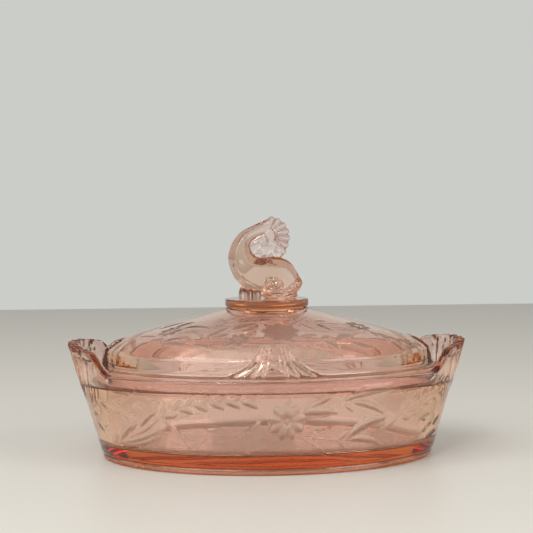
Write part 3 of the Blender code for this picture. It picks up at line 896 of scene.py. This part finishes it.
def pink_glass():
    """Pink glass: clear and bright where it is polished, ground to a fine frost where it is cut. Its
    colour lies mostly in its depth, so thick glass is a dark orange pink and thin glass is nearly clear.
    A value on the mesh gives the plain glass a surface tint and leaves the cut glass white. It paints
    shade, as a darker tint, onto the handles, the lid's cutting, the dolphin's edges and the plate's
    side, and the value "cut" says where the glass is ground."""
    material = bpy.data.materials.new("pink_glass")
    material.use_nodes = True
    nodes, links = material.node_tree.nodes, material.node_tree.links
    shader = nodes["Principled BSDF"]
    tint_and_painted_shade = nodes.new("ShaderNodeAttribute")
    tint_and_painted_shade.attribute_name = "tint_and_painted_shade"
    # The tint runs from white, for cut glass, through the glass's own tint to a dark brown of painted shade
    tint = nodes.new("ShaderNodeValToRGB")
    tint.color_ramp.elements[0].color = (1.0, 1.0, 1.0, 1)
    tint.color_ramp.elements[1].color = (0.36, 0.17, 0.12, 1)
    tint.color_ramp.elements.new(PLAIN_TINT).color = (1.0, 0.89, 0.915, 1)
    links.new(tint_and_painted_shade.outputs["Fac"], tint.inputs["Fac"])
    links.new(tint.outputs["Color"], shader.inputs["Base Color"])
    shader.inputs["Transmission Weight"].default_value = 1.0
    shader.inputs["IOR"].default_value = 1.52
    cut = nodes.new("ShaderNodeAttribute")
    cut.attribute_name = "cut"
    frost = nodes.new("ShaderNodeMapRange")
    frost.interpolation_type = "SMOOTHSTEP"
    frost.inputs["From Min"].default_value = -0.05
    frost.inputs["From Max"].default_value = 0.15
    links.new(cut.outputs["Fac"], frost.inputs["Value"])
    place = nodes.new("ShaderNodeTexCoord")
    grain = nodes.new("ShaderNodeTexNoise")
    grain.inputs["Scale"].default_value = 1800.0
    grain.inputs["Detail"].default_value = 3.0
    links.new(place.outputs["Object"], grain.inputs["Vector"])
    haze = nodes.new("ShaderNodeTexNoise")
    haze.inputs["Scale"].default_value = 60.0
    haze.inputs["Detail"].default_value = 4.0
    links.new(place.outputs["Object"], haze.inputs["Vector"])
    polished = nodes.new("ShaderNodeMapRange")
    polished.inputs["To Min"].default_value = 0.0
    polished.inputs["To Max"].default_value = 0.05
    links.new(haze.outputs["Fac"], polished.inputs["Value"])
    ground = nodes.new("ShaderNodeMapRange")
    ground.inputs["To Min"].default_value = 0.22
    ground.inputs["To Max"].default_value = 0.42
    links.new(grain.outputs["Fac"], ground.inputs["Value"])
    roughness = nodes.new("ShaderNodeMix")
    links.new(frost.outputs["Result"], roughness.inputs["Factor"])
    links.new(polished.outputs["Result"], roughness.inputs["A"])
    links.new(ground.outputs["Result"], roughness.inputs["B"])
    links.new(roughness.outputs["Result"], shader.inputs["Roughness"])
    depth = nodes.new("ShaderNodeVolumeAbsorption")
    depth.inputs["Color"].default_value = (0.955, 0.66, 0.31, 1.0)
    depth.inputs["Density"].default_value = 60.0
    links.new(depth.outputs["Volume"], nodes["Material Output"].inputs["Volume"])
    return material


# ---------------------------------------------------------------- studio


def plain_material(name, colour, roughness):
    """Matt paper or stone with a faint mottle."""
    material = bpy.data.materials.new(name)
    material.use_nodes = True
    nodes, links = material.node_tree.nodes, material.node_tree.links
    shader = nodes["Principled BSDF"]
    shader.inputs["Roughness"].default_value = roughness
    noise = nodes.new("ShaderNodeTexNoise")
    noise.inputs["Scale"].default_value = 3.0
    ramp = nodes.new("ShaderNodeValToRGB")
    ramp.color_ramp.elements[0].color = (*[c * 0.96 for c in colour], 1)
    ramp.color_ramp.elements[1].color = (*colour, 1)
    links.new(noise.outputs["Fac"], ramp.inputs["Fac"])
    links.new(ramp.outputs["Color"], shader.inputs["Base Color"])
    return material


def make_studio():
    mesh = bpy.data.meshes.new("table")
    near, far, half = -1.6, 0.85, 1.6
    corners = [(-half, near, 0), (half, near, 0), (half, far, 0), (-half, far, 0)]
    mesh.from_pydata(corners, [], [(0, 1, 2, 3)])
    table = new_object("table", mesh)
    table.location.z = -0.0001
    mesh.materials.append(plain_material("pale_table", (0.66, 0.62, 0.56), 0.4))

    world = bpy.data.worlds.new("studio")
    bpy.context.scene.world = world
    world.use_nodes = True
    nodes, links = world.node_tree.nodes, world.node_tree.links
    direction = nodes.new("ShaderNodeTexCoord")
    split = nodes.new("ShaderNodeSeparateXYZ")
    links.new(direction.outputs["Generated"], split.inputs["Vector"])
    walls = nodes.new("ShaderNodeValToRGB")
    walls.color_ramp.elements[0].color = (0.36, 0.35, 0.335, 1)
    walls.color_ramp.elements[1].color = (0.60, 0.61, 0.585, 1)
    share = nodes.new("ShaderNodeMapRange")
    share.inputs["From Min"].default_value = -0.9
    share.inputs["From Max"].default_value = 0.5
    links.new(split.outputs["Y"], share.inputs["Value"])
    links.new(share.outputs["Result"], walls.inputs["Fac"])
    ceiling = nodes.new("ShaderNodeMapRange")
    ceiling.interpolation_type = "SMOOTHSTEP"
    ceiling.inputs["From Min"].default_value = 0.35
    ceiling.inputs["From Max"].default_value = 0.8
    ceiling.inputs["To Min"].default_value = 1.0
    ceiling.inputs["To Max"].default_value = 0.65
    links.new(split.outputs["Z"], ceiling.inputs["Value"])
    background = nodes["Background"]
    links.new(walls.outputs["Color"], background.inputs["Color"])
    links.new(ceiling.outputs["Result"], background.inputs["Strength"])

    add_light("key", (-0.45, -0.5, 0.75), 0.9, 8.4)
    add_light("window", (-0.25, -0.7, 0.7), 0.12, 0.9)
    add_light("fill", (0.6, -0.5, 0.5), 0.5, 3.2)


def add_light(name, place, size, power):
    """A square softbox that faces the dish."""
    light = bpy.data.lights.new(name, "AREA")
    light.size = size
    light.energy = power
    lamp = bpy.data.objects.new(name, light)
    lamp.location = place
    lamp.rotation_euler = (Vector((0, 0, 0.04)) - Vector(place)).to_track_quat("-Z", "Y").to_euler()
    bpy.context.scene.collection.objects.link(lamp)


CAMERA_DISTANCE = 0.535
CAMERA_HEIGHT = 0.100
CAMERA_AZIMUTH = math.radians(-3.5)
CAMERA_TILT = math.radians(2.32)
CAMERA_ROLL = math.radians(-0.45)


def make_camera():
    camera = bpy.data.objects.new("camera", bpy.data.cameras.new("camera"))
    camera.data.lens = 86.0
    camera.data.clip_start = 0.01
    turned = Matrix.Rotation(CAMERA_AZIMUTH, 4, "Z")
    turned @= Matrix.Rotation(math.pi / 2 - CAMERA_TILT, 4, "X")
    turned @= Matrix.Rotation(CAMERA_ROLL, 4, "Z")
    place = Vector((math.sin(CAMERA_AZIMUTH), -math.cos(CAMERA_AZIMUTH), 0)) * CAMERA_DISTANCE
    place.z = CAMERA_HEIGHT
    camera.matrix_world = Matrix.Translation(place) @ turned
    bpy.context.scene.collection.objects.link(camera)
    bpy.context.scene.camera = camera


def set_light_paths():
    """Enough bounces for light to pass through both walls, the lid and the finial."""
    cycles = bpy.context.scene.cycles
    cycles.max_bounces = 32
    cycles.transmission_bounces = 32
    cycles.glossy_bounces = 8
    bpy.context.scene.view_settings.view_transform = "Standard"


# ---------------------------------------------------------------- the object

glass = pink_glass()
for make, node in ((make_dish, "dish"), (make_lid, "lid")):
    piece = make()
    piece.data.materials.clear()
    piece.data.materials.append(glass)
    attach(piece, node)
    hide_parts(node)
    print(piece.name, len(piece.data.vertices), "vertices", len(piece.data.polygons), "faces")

make_studio()
make_camera()
set_light_paths()
